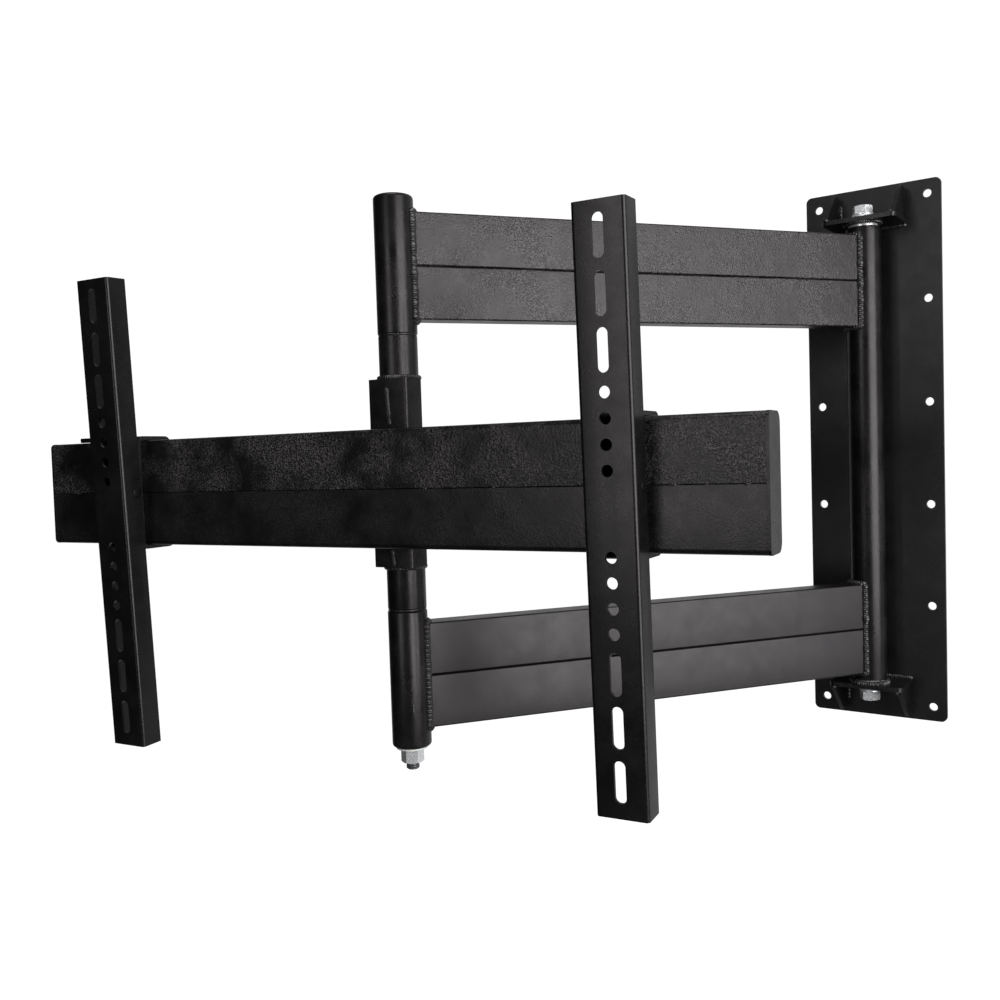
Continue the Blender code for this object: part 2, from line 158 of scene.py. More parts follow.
UPRIGHT = axes(X, Z, (0, -1, 0))
SIDEWAYS = axes(Y, Z, X)
OVER_X = Matrix.Rotation(pi, 4, "X")
OVER_Y = Matrix.Rotation(pi, 4, "Y")
ALONG_X = Matrix.Rotation(pi / 2, 4, "Y")
ENDS = (("upper", Matrix(), 1), ("lower", OVER_Y, -1))
WALL = shift(0, PIVOT_Y, 0)
ARM = WALL @ Matrix.Rotation(ARM_SWING, 4, "Z")
OUTER = ARM @ shift(ARM_LENGTH)
HEAD = OUTER @ Matrix.Rotation(HEAD_TURN - ARM_SWING, 4, "Z")

# Materials ------------------------------------------------------------------------------


class Tree:
    """Short calls for building a node tree."""

    def __init__(self, tree):
        self.tree = tree

    def fill(self, node, inputs):
        """Links the inputs that are given a socket, and sets the others."""
        for key, value in inputs.items():
            if isinstance(value, bpy.types.NodeSocket):
                self.tree.links.new(value, node.inputs[key])
            else:
                node.inputs[key].default_value = value

    def add(self, kind, inputs=None, **settings):
        new = self.tree.nodes.new(kind)
        for key, value in settings.items():
            setattr(new, key, value)
        self.fill(new, inputs or {})
        return new

    def span(self, value, low, high, start=0.3, end=0.7, **settings):
        """Low where the value is at start, high where it is at end."""
        inputs = {"Value": value, "From Min": start, "From Max": end, "To Min": low, "To Max": high}
        return self.add("ShaderNodeMapRange", inputs, **settings).outputs["Result"]

    def maths(self, operation, a, b):
        return self.add("ShaderNodeMath", {0: a, 1: b}, operation=operation).outputs[0]


class Surface(Tree):
    """One material's nodes."""

    MIX_COLOURS = (6, 7)
    MIXED_COLOUR = 2

    def __init__(self, name):
        self.material = bpy.data.materials.new(name)
        self.material.use_nodes = True
        super().__init__(self.material.node_tree)
        self.shader = self.tree.nodes["Principled BSDF"]
        self.where = self.add("ShaderNodeTexCoord").outputs["Object"]

    def noise(self, scale, detail=2.0, rough=0.5, stretch=None):
        where = self.where
        if stretch:
            mapping = self.add("ShaderNodeMapping", {"Vector": where, "Scale": stretch})
            where = mapping.outputs["Vector"]
        inputs = {"Vector": where, "Scale": scale, "Detail": detail, "Roughness": rough}
        return self.add("ShaderNodeTexNoise", inputs).outputs["Fac"]

    def mix(self, factor, a, b):
        """Colour a where the factor is 0, b where it is 1."""
        inputs = {0: factor}
        for at, colour in zip(self.MIX_COLOURS, (a, b)):
            inputs[at] = (*colour, 1) if isinstance(colour, tuple) else colour
        return self.add("ShaderNodeMix", inputs, data_type="RGBA").outputs[self.MIXED_COLOUR]

    def bump(self, height, strength, distance, under=None):
        inputs = {"Height": height, "Strength": strength, "Distance": distance}
        if under is not None:
            inputs["Normal"] = under
        return self.add("ShaderNodeBump", inputs).outputs["Normal"]

    def edges(self, radius):
        """How far the surface turns within radius: 0 on a flat, 1 on an edge."""
        bevel = self.add("ShaderNodeBevel", {"Radius": radius}, samples=4)
        flat = self.add("ShaderNodeNewGeometry").outputs["Normal"]
        dot = self.add("ShaderNodeVectorMath", {0: bevel.outputs["Normal"], 1: flat},
                       operation="DOT_PRODUCT")
        return self.span(dot.outputs["Value"], 1.0, 0.0, 0.82, 0.985)

    def finish(self, **inputs):
        """Fills the shader's inputs, named with _ for a space, and gives the material."""
        self.fill(self.shader, {name.replace("_", " "): value for name, value in inputs.items()})
        return self.material


HEAVY_PEEL = 1.5
# The colour of the lighter specks painted into the coat: painted highlights standing in for the
# glints of the orange peel.
PAINTED_GLINT_COLOUR = (0.085, 0.079, 0.083)
# Lighter colour for patches along the edges: partly edge wear, partly a painted edge highlight.
WEAR_AND_EDGE_HIGHLIGHT_COLOUR = (0.04, 0.04, 0.042)


def powder_coat(name, peel, grain, rough, dark=0.0022, light=0.0045, shine=0.30):
    """Black powder coat: the depth of its orange peel, its grains per metre, its roughness."""
    n = Surface(name)
    cloud = n.span(n.noise(14, 3), 0, 1)
    colour = n.mix(cloud, (dark, dark, dark * 1.06), (light, light, light * 1.05))
    peeled = n.span(n.noise(22, 3, 0.6), 0.0, 1.0, 0.40, 0.62)
    # Lighter specks where the peel is heavy are painted highlights, standing in for the orange
    # peel's glints.
    painted_glints = n.span(n.noise(grain * 1.5, 1), 0.0, min(peel / HEAVY_PEEL, 1.0), 0.46, 0.66)
    colour = n.mix(n.maths("MULTIPLY", painted_glints, peeled), colour, PAINTED_GLINT_COLOUR)
    # Patches along the edges are painted lighter: partly edge wear, partly a painted edge
    # highlight.
    patches = n.span(n.noise(90, 4, 0.6), 0.0, 0.55, 0.42, 0.72)
    colour = n.mix(n.maths("MULTIPLY", n.edges(0.0007), patches), colour, WEAR_AND_EDGE_HIGHLIGHT_COLOUR)
    sand = n.maths("MULTIPLY", n.noise(grain, 2, 0.45), n.span(peeled, 0.35, 1.0, 0.0, 1.0))
    slow = n.bump(n.noise(grain * 0.30, 2, 0.5), 0.12 * peel, 0.0010)
    fine = n.bump(sand, 0.85 * peel, 0.0006, slow)
    return n.finish(
        Base_Color=colour,
        Roughness=n.span(n.noise(55, 4, 0.6), rough - 0.06, rough + 0.07),
        Normal=n.bump(n.noise(grain * 2.7, 1), 0.10, 0.0002, fine),
        Specular_IOR_Level=shine,
        Specular_Tint=(1.0, 0.93, 0.97, 1),
        Coat_Weight=0.10,
        Coat_Roughness=0.22,
    )


def plated(name, colour, rough, metal):
    """Plated metal with a mottled shine and fine scratches."""
    n = Surface(name)
    darker = tuple(c * 0.85 for c in colour)
    scratches = n.noise(260, 3, 0.6, (1, 1, 14))
    return n.finish(
        Base_Color=n.mix(n.span(n.noise(160, 4, 0.6), 0, 1), darker, colour),
        Roughness=n.span(n.noise(420, 3), rough - 0.08, rough + 0.12),
        Normal=n.bump(scratches, 0.10, 0.0002, n.bump(n.noise(900, 2), 0.08, 0.0002)),
        Metallic=metal,
    )


def nylon(name):
    n = Surface(name)
    cloud = n.span(n.noise(240, 3), 0, 1)
    return n.finish(
        Base_Color=n.mix(cloud, (0.72, 0.72, 0.69), (0.84, 0.84, 0.82)),
        Roughness=n.span(n.noise(700, 3), 0.35, 0.5),
        Normal=n.bump(n.noise(1500, 2), 0.15, 0.0001),
        Subsurface_Weight=0.08,
        Subsurface_Scale=0.002,
    )


PEEL = powder_coat("black_coat_heavy_peel", HEAVY_PEEL, 620, 0.30)
COAT = powder_coat("black_coat_medium_peel", 0.45, 800, 0.30)
SMOOTH = powder_coat("black_coat_light_peel", 0.16, 1100, 0.34)
RAIL_COAT = powder_coat("black_coat_rail", 0.20, 1200, 0.28)
PLATE_COAT = powder_coat("black_coat_plate", 0.20, 900, 0.38, 0.004, 0.008)
# The coat of the welds, drips and thrust washers is painted several times lighter than the black
# coat: a painted highlight for the light the beads catch.
PAINTED_HIGHLIGHT_WELD_COAT = powder_coat("weld_coat_painted_highlight", 0.60, 700, 0.26, 0.010, 0.025, 0.60)
PIN_COAT = powder_coat("black_coat_pin", 0.20, 1200, 0.34)
ZINC = plated("zinc_plate", (0.92, 0.93, 0.95), 0.24, 0.60)
STEEL = plated("dark_steel", (0.20, 0.20, 0.21), 0.36, 0.8)
NYLON = nylon("white_nylon")

# Outlines and profiles ------------------------------------------------------------------

CORNER_STEPS = 8
EDGE_STEPS = 4


def circle(x, y, radius, steps=48):
    angles = [2 * pi * i / steps for i in range(steps)]
    return [(x + radius * cos(angle), y + radius * sin(angle)) for angle in angles]


def rounded(corners, radii):
    """A loop through the corners, each rounded by its own radius or all by one."""
    if not isinstance(radii, (list, tuple)):
        radii = [radii] * len(corners)
    loop = []
    for i, radius in enumerate(radii):
        here = Vector(corners[i])
        if radius == 0:
            loop.append(tuple(here))
            continue
        before = (Vector(corners[i - 1]) - here).normalized()
        after = (Vector(corners[(i + 1) % len(corners)]) - here).normalized()
        half = before.angle(after) / 2
        centre = here + (before + after).normalized() * radius / sin(half)
        first = here + before * radius / tan(half) - centre
        last = here + after * radius / tan(half) - centre
        start = atan2(first.y, first.x)
        sweep = (atan2(last.y, last.x) - start + pi) % (2 * pi) - pi
        for k in range(CORNER_STEPS + 1):
            angle = start + sweep * k / CORNER_STEPS
            loop.append((centre.x + radius * cos(angle), centre.y + radius * sin(angle)))
    return loop


def rectangle(wide, tall, radius=0.0, x=0.0, y=0.0):
    w = wide / 2
    h = tall / 2
    return rounded([(x - w, y - h), (x + w, y - h), (x + w, y + h), (x - w, y + h)], radius)


def arc_edge(radius, z, edge, outward):
    """Points round a turned outer edge, from its flat side at z. outward is 1 or -1 along z."""
    points = []
    for k in range(EDGE_STEPS + 1):
        angle = pi / 2 * k / EDGE_STEPS
        points.append((radius - edge + edge * sin(angle), z - outward * edge * (1 - cos(angle))))
    return points


def outer_wall(radius, bottom, top, bottom_edge, top_edge):
    """A turned wall's profile from top to bottom, with both its edges rounded."""
    return arc_edge(radius, top, top_edge, 1) + arc_edge(radius, bottom, bottom_edge, -1)[::-1]


# Meshes ---------------------------------------------------------------------------------


def finished(mesh):
    bm = bmesh.new()
    bm.from_mesh(mesh)
    bmesh.ops.remove_doubles(bm, verts=bm.verts, dist=1e-6)
    bmesh.ops.recalc_face_normals(bm, faces=bm.faces)
    bm.to_mesh(mesh)
    bm.free()
    mesh.shade_smooth()
    mesh.set_sharp_from_angle(angle=radians(32))
    return mesh


def scratch(data, matrix=None):
    obj = bpy.data.objects.new("scratch", data)
    obj.matrix_world = matrix or Matrix()
    bpy.context.scene.collection.objects.link(obj)
    return obj


def evaluated(obj):
    """The mesh that the object's modifiers make. The object itself is removed."""
    bpy.context.view_layer.update()
    graph = bpy.context.evaluated_depsgraph_get()
    mesh = bpy.data.meshes.new_from_object(obj.evaluated_get(graph))
    bpy.data.objects.remove(obj)
    return finished(mesh)


def outline(loop, depth, holes=()):
    """The loop less its holes, depth thick along Z and centred on it."""
    curve = bpy.data.curves.new("outline", "CURVE")
    curve.dimensions = "2D"
    curve.fill_mode = "BOTH"
    curve.extrude = depth / 2
    for points in (loop, *holes):
        spline = curve.splines.new("POLY")
        spline.points.add(len(points) - 1)
        for point, (x, y) in zip(spline.points, points):
            point.co = (x, y, 0, 1)
        spline.use_cyclic_u = True
    return evaluated(scratch(curve))


def turned(profile, ring=True, steps=96):
    """The (radius, z) profile turned about Z. A ring's profile is a closed loop."""
    mesh = bpy.data.meshes.new("profile")
    count = len(profile)
    edges = [(i, (i + 1) % count) for i in range(count if ring else count - 1)]
    mesh.from_pydata([(r, 0, z) for r, z in profile], edges, [])
    obj = scratch(mesh)
    screw = obj.modifiers.new("turn", "SCREW")
    screw.angle = 2 * pi
    screw.steps = steps
    screw.render_steps = steps
    screw.use_merge_vertices = True
    screw.merge_threshold = 1e-5
    return evaluated(obj)


def tube(radius, bore, bottom, top, edge=0.0008):
    profile = outer_wall(radius, bottom, top, edge, edge)
    return turned(profile + [(bore, bottom), (bore, top)])


def disc(radius, bottom, top, edge=0.0006, steps=96):
    profile = outer_wall(radius, bottom, top, edge, edge)
    return turned([(0, top)] + profile + [(0, bottom)], ring=False, steps=steps)


def combined(mesh, other, operation, matrix=None):
    obj = scratch(mesh)
    tool = scratch(other, matrix)
    boolean = obj.modifiers.new("combine", "BOOLEAN")
    boolean.operation = operation
    boolean.solver = "EXACT"
    boolean.object = tool
    result = evaluated(obj)
    bpy.data.objects.remove(tool)
    return result


def hexagon(across, bottom, top):
    """A hexagonal prism with both its ends chamfered, as on a nut."""
    mesh = bpy.data.meshes.new("hexagon")
    corner = across / sqrt(3)
    bm = bmesh.new()
    bmesh.ops.create_cone(bm, cap_ends=True, segments=6, radius1=corner, radius2=corner,
                          depth=top - bottom + 0.002, matrix=shift(0, 0, (top + bottom) / 2))
    bm.to_mesh(mesh)
    bm.free()
    inner = across / 2 - 0.0003
    outer = corner + 0.0006
    slope = (outer - inner) * 0.5
    chamfers = turned([(0, top), (inner, top), (outer, top - slope), (outer, bottom + slope),
                       (inner, bottom), (0, bottom)], ring=False)
    return combined(mesh, chamfers, "INTERSECT")


def flanged_hexagon(bottom, top):
    flange = disc(0.0112, bottom, bottom + 0.0022, 0.0007)
    return combined(hexagon(HEX_ACROSS, bottom + 0.0003, top), flange, "UNION")


def threaded(radius, bottom, top):
    """A bolt's end with the crests of its thread."""
    pitch = 0.00175
    depth = 0.0009
    chamfer = 0.0012
    profile = [(0, top), (radius - chamfer, top)]
    z = top - chamfer
    while z > bottom + 0.0016:
        root = radius - depth
        profile += [(radius, z), (radius, z - 0.0003), (root, z - depth), (root, z - 0.0011)]
        z -= pitch
    return turned(profile + [(radius, bottom), (0, bottom)], ring=False, steps=64)


def bead(path, radius, seed=0.0, closed=False, ripple=0.22, pitch=0.0021):
    """A weld bead along a polyline: a rounded string with the ripples of its pool."""
    step = 0.0006
    sides = 10
    points = [Vector(p) for p in path]
    if closed:
        points.append(points[0])
    dense = []
    travelled = 0.0
    for a, b in zip(points, points[1:]):
        steps = max(1, round((b - a).length / step))
        for k in range(steps):
            dense.append((a.lerp(b, k / steps), travelled + (b - a).length * k / steps))
        travelled += (b - a).length
    if not closed:
        dense.append((points[-1], travelled))
    count = len(dense)
    bm = bmesh.new()
    rings = []
    for i, (here, along) in enumerate(dense):
        before = dense[i - 1][0] if i or closed else here
        after = dense[(i + 1) % count][0] if i < count - 1 or closed else here
        way = (after - before).normalized()
        guide = (0.13, 0.21, 0.97) if abs(way.z) < 0.8 else (0.96, 0.22, 0.1)
        side = way.cross(Vector(guide)).normalized()
        out = way.cross(side)
        wobble = noise.noise(Vector((along * 190, seed, 0)))
        size = radius * (1 + ripple * abs(sin(pi * along / pitch)) + 0.22 * wobble)
        if not closed:
            size *= min(1, 0.25 + min(along, travelled - along) / (radius * 1.2))
        drift = side * radius * 0.35 * noise.noise(Vector((along * 90, seed, 5)))
        ring = []
        for k in range(sides):
            angle = 2 * pi * k / sides
            reach = (side * cos(angle) + out * sin(angle)) * size
            ring.append(bm.verts.new(here + drift + reach))
        rings.append(ring)
    pairs = list(zip(rings, rings[1:])) + ([(rings[-1], rings[0])] if closed else [])
    for low, high in pairs:
        for k in range(sides):
            beside = (k + 1) % sides
            bm.faces.new((low[k], low[beside], high[beside], high[k]))
    if not closed:
        bm.faces.new(rings[0][::-1])
        bm.faces.new(rings[-1])
    mesh = bpy.data.meshes.new("bead")
    bm.to_mesh(mesh)
    bm.free()
    return finished(mesh)


def piece(name, mesh, matrix, body, material, *nodes, bevel=0.0):
    """One visible piece on a body, standing for the named CAD nodes."""
    mesh = mesh.copy()
    mesh.name = name
    mesh.materials.clear()
    mesh.materials.append(material)
    obj = bpy.data.objects.new(name, mesh)
    bpy.context.scene.collection.objects.link(obj)
    obj.matrix_world = matrix
    if bevel:
        modifier = obj.modifiers.new("edge", "BEVEL")
        modifier.width = bevel
        modifier.segments = 3
        modifier.limit_method = "ANGLE"
        modifier.angle_limit = radians(40)
        modifier.harden_normals = True
    bpy.context.view_layer.update()
    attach(obj, body)
    if nodes:
        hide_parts(*nodes)
    return obj


def skin(node, mesh, matrix, body, material, bevel=0.0):
    """The piece that stands for one CAD node."""
    piece(node + "_skin", mesh, matrix, body, material, node, bevel=bevel)


# Wall frame -----------------------------------------------------------------------------

middle_row = (HOLE_ROWS - 1) / 2
holes = [circle(x, (row - middle_row) * HOLE_PITCH, HOLE_RADIUS, 32)
         for x in (-HOLE_OUT, HOLE_OUT) for row in range(HOLE_ROWS)]
plate = outline(rectangle(PLATE_WIDE, PLATE_TALL, PLATE_CORNER), PLATE_THICK, holes)
skin("wall_plate", plate, shift(0, -PLATE_THICK / 2, 0) @ UPRIGHT, "wall_frame", PLATE_COAT,
     bevel=0.0005)

ear_corners = [(-EAR_HALF, EAR_ROOT), (-EAR_HALF, EAR_TIP), (EAR_HALF, EAR_TIP),
               (EAR_HALF, EAR_ROOT)]
ear = outline(rounded(ear_corners, [0, EAR_CORNER, EAR_CORNER, 0]), EAR_THICK,
              [circle(0, PIVOT_Y, CLEAR_BORE)])
gusset_corners = [(EAR_ROOT, EAR_TOP + GAP), (GUSSET_TIP, EAR_TOP + GAP),
                  (GUSSET_BEND, GUSSET_TOP), (EAR_ROOT, GUSSET_TOP)]
gusset = outline(rounded(gusset_corners, [0, 0.001, 0.002, 0]), GUSSET_THICK)
for side, turn, sign in ENDS:
    skin(side + "_ear", ear, turn @ shift(0, 0, EAR_TOP - EAR_THICK / 2), "wall_frame", COAT,
         bevel=0.0006)
    root = [(x, EAR_ROOT + 0.0001, EAR_WELD) for x in (0.001 - EAR_HALF, EAR_HALF - 0.001)]
    piece(side + "_ear_weld", bead(root, 0.0019, 3), turn, "wall_frame", PAINTED_HIGHLIGHT_WELD_COAT)
    for hand, place in (("left", -GUSSET_X), ("right", GUSSET_X)):
        x = sign * place
        name = side + "_gusset_" + hand
        skin(name, gusset, turn @ shift(x, 0, 0) @ SIDEWAYS, "wall_frame", COAT, bevel=0.0005)
        inner = x - 0.0021 if x > 0 else x + 0.0021
        foot = EAR_TOP + 0.0006
        run = [(x, -0.0583, foot), (inner, -0.0575, foot), (inner, -0.0050, foot),
               (inner, -0.0050, 0.272)]
        piece(name + "_weld", bead(run, 0.0016, x * 90), turn, "wall_frame", PAINTED_HIGHLIGHT_WELD_COAT)

washer = tube(0.0130, CLEAR_BORE, 0, WASHER_THICK, 0.0007)
for side, z in (("upper", EAR_TOP + GAP), ("lower", GAP - WASHER_SEAT)):
    skin(side + "_pivot_washer", washer, WALL @ shift(0, 0, z), "wall_frame", ZINC)

nut_bore = disc(CLEAR_BORE, -0.01, 0.02)
nut = combined(flanged_hexagon(0, 0.0115), nut_bore, "DIFFERENCE")
bolt = combined(flanged_hexagon(WASHER_SEAT, WASHER_SEAT + 0.0108),
                disc(BOLT_RADIUS, -WASHER_SEAT - 0.0110, WASHER_SEAT + 0.001), "UNION")
twist = Matrix.Rotation(radians(27), 4, "Z")
skin("wall_pivot_nut", nut, WALL @ shift(0, 0, -WASHER_SEAT) @ OVER_Y @ twist, "wall_frame", ZINC)
skin("wall_pivot_bolt", bolt, WALL @ twist, "wall_frame", ZINC)
for (side, turn, _), size in zip(ENDS, (0.0014, 0.0021)):
    ring = [(x, y, EAR_WELD) for x, y in circle(0, PIVOT_Y, 0.0178, 40)]
    ear_ring = bead(ring, size, 12, closed=True, ripple=0.45)
    piece(side + "_ear_ring", ear_ring, turn, "wall_frame", PAINTED_HIGHLIGHT_WELD_COAT)

# Arms -----------------------------------------------------------------------------------

skin("wall_pivot_tube", tube(TUBE_RADIUS, TUBE_BORE, WALL_TUBE_BOTTOM, WALL_TUBE_TOP), ARM,
     "arm_assembly", COAT)
bush_neck = TUBE_BORE - GAP
bush = turned([(0.0143, BUSH_TOP), (0.0148, BUSH_TOP - 0.0005), (0.0148, BUSH_BOTTOM + 0.0003),
               (0.0145, BUSH_BOTTOM), (bush_neck, BUSH_BOTTOM), (bush_neck, BUSH_END),
               (CLEAR_BORE, BUSH_END), (CLEAR_BORE, BUSH_TOP)])
skin("wall_bush_upper", bush, ARM, "arm_assembly", ZINC)
skin("wall_bush_lower", bush, ARM @ shift(0, 0, -0.0007) @ OVER_X, "arm_assembly", ZINC)

arm_high = ARM_TALL - GAP
arm_tube = outline(rectangle(ARM_THICK, arm_high, 0.0016), ARM_LENGTH,
                   [rectangle(ARM_THICK - 2 * TUBE_WALL, arm_high - 2 * TUBE_WALL, 0.0008)])
arm_tube.transform(shift(ARM_LENGTH / 2) @ SIDEWAYS)
coping = disc(TUBE_RADIUS + GAP, -0.06, 0.06, steps=128)
arm_tube = combined(arm_tube, coping, "DIFFERENCE")
arm_tube = combined(arm_tube, coping, "DIFFERENCE", shift(ARM_LENGTH))


def coped_end(x, facing, seam):
    """A closed path round an arm's end, on the round tube at x."""
    radius = TUBE_RADIUS + 0.0004
    spread = asin(0.0112 / TUBE_RADIUS)
    half = ARM_TALL - 0.0001
    loop = []
    for z, way in ((seam + half, 1), (seam - half, -1)):
        for k in range(-4, 5):
            angle = facing + way * spread * k / 4
            loop.append((x + radius * cos(angle), radius * sin(angle), z))
    return loop


for side, seam, coat in (("upper", UPPER_SEAM, PEEL), ("lower", LOWER_SEAM, SMOOTH)):
    for level, lift in (("top", ARM_TALL / 2), ("bottom", -ARM_TALL / 2)):
        skin(side + "_arm_" + level + "_tube", arm_tube, ARM @ shift(0, 0, seam + lift),
             "arm_assembly", coat)
    for end, x, facing in (("wall", 0, 0), ("outer", ARM_LENGTH, pi)):
        run = bead(coped_end(x, facing, seam), 0.0029, seam * 50 + x, closed=True)
        piece(side + "_arm_weld_" + end, run, ARM, "arm_assembly", PAINTED_HIGHLIGHT_WELD_COAT)

upper_sleeve = turned(arc_edge(TUBE_RADIUS, SLEEVE_TOP, 0.0030, 1)
                      + [(TUBE_RADIUS, UPPER_SLEEVE_END + 0.0004),
                         (TUBE_RADIUS - 0.0004, UPPER_SLEEVE_END),
                         (TUBE_BORE, UPPER_SLEEVE_END), (TUBE_BORE, SLEEVE_TOP)])
skin("upper_sleeve", upper_sleeve, OUTER, "arm_assembly", COAT)
skin("sleeve_top_plate", disc(TUBE_BORE - 0.0001, SLEEVE_TOP - 0.0035, SLEEVE_TOP, 0.0004), OUTER,
     "arm_assembly", COAT)
sleeve_floor = SLEEVE_BOTTOM + 0.004
lower_sleeve = turned(outer_wall(TUBE_RADIUS, SLEEVE_BOTTOM, LOWER_SLEEVE_END, 0.0030, 0.0022)
                      + [(CLEAR_BORE, SLEEVE_BOTTOM), (CLEAR_BORE, sleeve_floor),
                         (TUBE_BORE, sleeve_floor), (TUBE_BORE, LOWER_SLEEVE_END)])
skin("lower_sleeve", lower_sleeve, OUTER, "arm_assembly", COAT)
nylon_top = SLEEVE_BOTTOM - GAP
skin("lower_nylon_washer", tube(0.0143, CLEAR_BORE, nylon_top - NYLON_THICK, nylon_top, 0.0005),
     OUTER, "arm_assembly", NYLON)
nut_top = SLEEVE_BOTTOM - 2 * GAP - NYLON_THICK
outer_nut = combined(hexagon(HEX_ACROSS, nut_top - 0.0125, nut_top),
                     disc(CLEAR_BORE, nut_top - 0.02, 0), "DIFFERENCE")
skin("outer_pivot_nut", outer_nut, OUTER @ Matrix.Rotation(radians(12), 4, "Z"), "arm_assembly",
     ZINC)
piece("outer_pivot_bolt_end", threaded(BOLT_RADIUS, -0.010, 0.0188),
      OUTER @ shift(0, 0, nut_top) @ OVER_X, "arm_assembly", STEEL, "outer_pivot_bolt")

drip_angle = radians(-43)
drip_at = Vector((cos(drip_angle), sin(drip_angle), 0)) * (TUBE_RADIUS - 0.0003)
for n, (z, long) in enumerate(((-0.1805, 0.0020), (-0.1935, 0.0040), (-0.2050, 0.0100))):
    run = [drip_at + Vector((0, 0, z)), drip_at + Vector((0, 0, z - long))]
    piece("sleeve_drip_" + str(n), bead(run, 0.0014 - 0.0003 * n, n + 20),
          Matrix.Translation(OUTER.to_translation()), "arm_assembly", PAINTED_HIGHLIGHT_WELD_COAT)
for name in ("upper_sleeve_bush", "lower_sleeve_bush", "centre_bush_upper", "centre_bush_lower"):
    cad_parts[name].material_slots[0].material = NYLON

# Head -----------------------------------------------------------------------------------

skin("centre_tube", tube(CENTRE_RADIUS, TUBE_BORE, CENTRE_BOTTOM, CENTRE_TOP), HEAD, "head", COAT)
thrust = tube(TUBE_RADIUS - 0.0006, CLEAR_BORE, 0, THRUST_THICK, 0.0002)
for side, z in (("upper", CENTRE_TOP + GAP), ("lower", CENTRE_BOTTOM - GAP - THRUST_THICK)):
    skin(side + "_thrust_washer", thrust, HEAD @ shift(0, 0, z), "head", PAINTED_HIGHLIGHT_WELD_COAT)

inside = BRACKET_HALF - BRACKET_SHEET
bracket_corners = [(-BRACKET_HALF, BRACKET_BACK), (-BRACKET_HALF, -BRACKET_HALF),
                   (BRACKET_HALF, -BRACKET_HALF), (BRACKET_HALF, BRACKET_BACK),
                   (inside, BRACKET_BACK), (inside, -inside), (-inside, -inside),
                   (-inside, BRACKET_BACK)]
bracket = outline(rounded(bracket_corners, [0, 0.0026, 0.0026, 0, 0, 0.0006, 0.0006, 0]),
                  BRACKET_TALL)
skin("centre_bracket", bracket, HEAD @ shift(0, 0, BRACKET_CENTRE), "head", COAT, bevel=0.0004)
for name, z, size, seed in (("collar", 0.0830, 0.0019, 8), ("foot", -0.0850, 0.0017, 9)):
    ring = [(x, y, z) for x, y in circle(0, 0, CENTRE_RADIUS + 0.0002)]
    piece(name + "_weld", bead(ring, size, seed, closed=True), HEAD, "head", PAINTED_HIGHLIGHT_WELD_COAT)
for name, top, bottom in (("upper", 0.0745, 0.0400), ("lower", -0.0665, -0.0835)):
    path = [(-0.001, -0.0199, top), (0.0012, -0.0199, bottom)]
    run = bead(path, 0.0019, top * 99, ripple=0.10, pitch=0.0070)
    piece("bracket_" + name + "_bead", run, HEAD, "head", PAINTED_HIGHLIGHT_WELD_COAT)
for name, z in (("top", BAR_CENTRE + BAR_TALL - BAR_CORNER),
                ("bottom", BAR_CENTRE - BAR_TALL + BAR_CORNER)):
    path = [(-0.019, -0.0208, z), (0.019, -0.0208, z)]
    piece("bar_" + name + "_weld", bead(path, 0.0030, z * 70), HEAD, "head", PAINTED_HIGHLIGHT_WELD_COAT)

bar_y = -BAR_BACK - BAR_DEEP / 2
bar_long = BAR_RIGHT - BAR_LEFT - 2 * (CAP_THICK + 0.00002)
bar_x = (BAR_RIGHT + BAR_LEFT) / 2
bar_high = BAR_TALL - GAP
top_corners = [BAR_SEAM_CORNER, BAR_SEAM_CORNER, BAR_BACK_CORNER, BAR_CORNER]
bottom_corners = [BAR_CORNER, BAR_BACK_CORNER, BAR_SEAM_CORNER, BAR_SEAM_CORNER]
for level, lift, corners, coat in (("upper", BAR_TALL / 2, top_corners, PEEL),
                                   ("lower", -BAR_TALL / 2, bottom_corners, COAT)):
    inner_corners = [max(corner - TUBE_WALL, 0.001) for corner in corners]
    hollow = rectangle(BAR_DEEP - 2 * TUBE_WALL, bar_high - 2 * TUBE_WALL, inner_corners)
    bar_tube = outline(rectangle(BAR_DEEP, bar_high, corners), bar_long, [hollow])
    skin("crossbar_" + level + "_tube", bar_tube,
         HEAD @ shift(bar_x, bar_y, BAR_CENTRE + lift) @ SIDEWAYS, "head", coat)
cap_corners = [BAR_CORNER, BAR_BACK_CORNER, BAR_BACK_CORNER, BAR_CORNER]
end_cap = outline(rectangle(BAR_DEEP, 2 * BAR_TALL, cap_corners), CAP_THICK)
for hand, x in (("left", BAR_LEFT + CAP_THICK / 2), ("right", BAR_RIGHT - CAP_THICK / 2)):
    skin("crossbar_cap_" + hand, end_cap, HEAD @ shift(x, bar_y, BAR_CENTRE) @ SIDEWAYS, "head",
         COAT, bevel=0.0012)
tacks = ((-0.36, 0.006), (-0.20, 0.004), (0.052, 0.007), (0.117, 0.005), (0.262, 0.009),
         (0.290, 0.004), (0.318, 0.006))
for n, (x, long) in enumerate(tacks):
    y = BAR_FRONT + 0.0019
    run = [(x, y, BAR_CENTRE + 0.0002), (x + long, y, BAR_CENTRE - 0.0002)]
    piece("bar_tack_" + str(n), bead(run, 0.0021, n * 2.3), HEAD, "head", COAT)
lug = outline(rectangle(0.016, 0.0045, 0.001), 0.003)
lug_at = shift(LUG_X, BAR_FRONT + BAR_CORNER + 0.0015, BAR_CENTRE + BAR_TALL + 0.00255)
skin("left_stop_lug", lug, HEAD @ lug_at @ UPRIGHT, "head", COAT, bevel=0.0004)

# Saddles and rails ----------------------------------------------------------------------

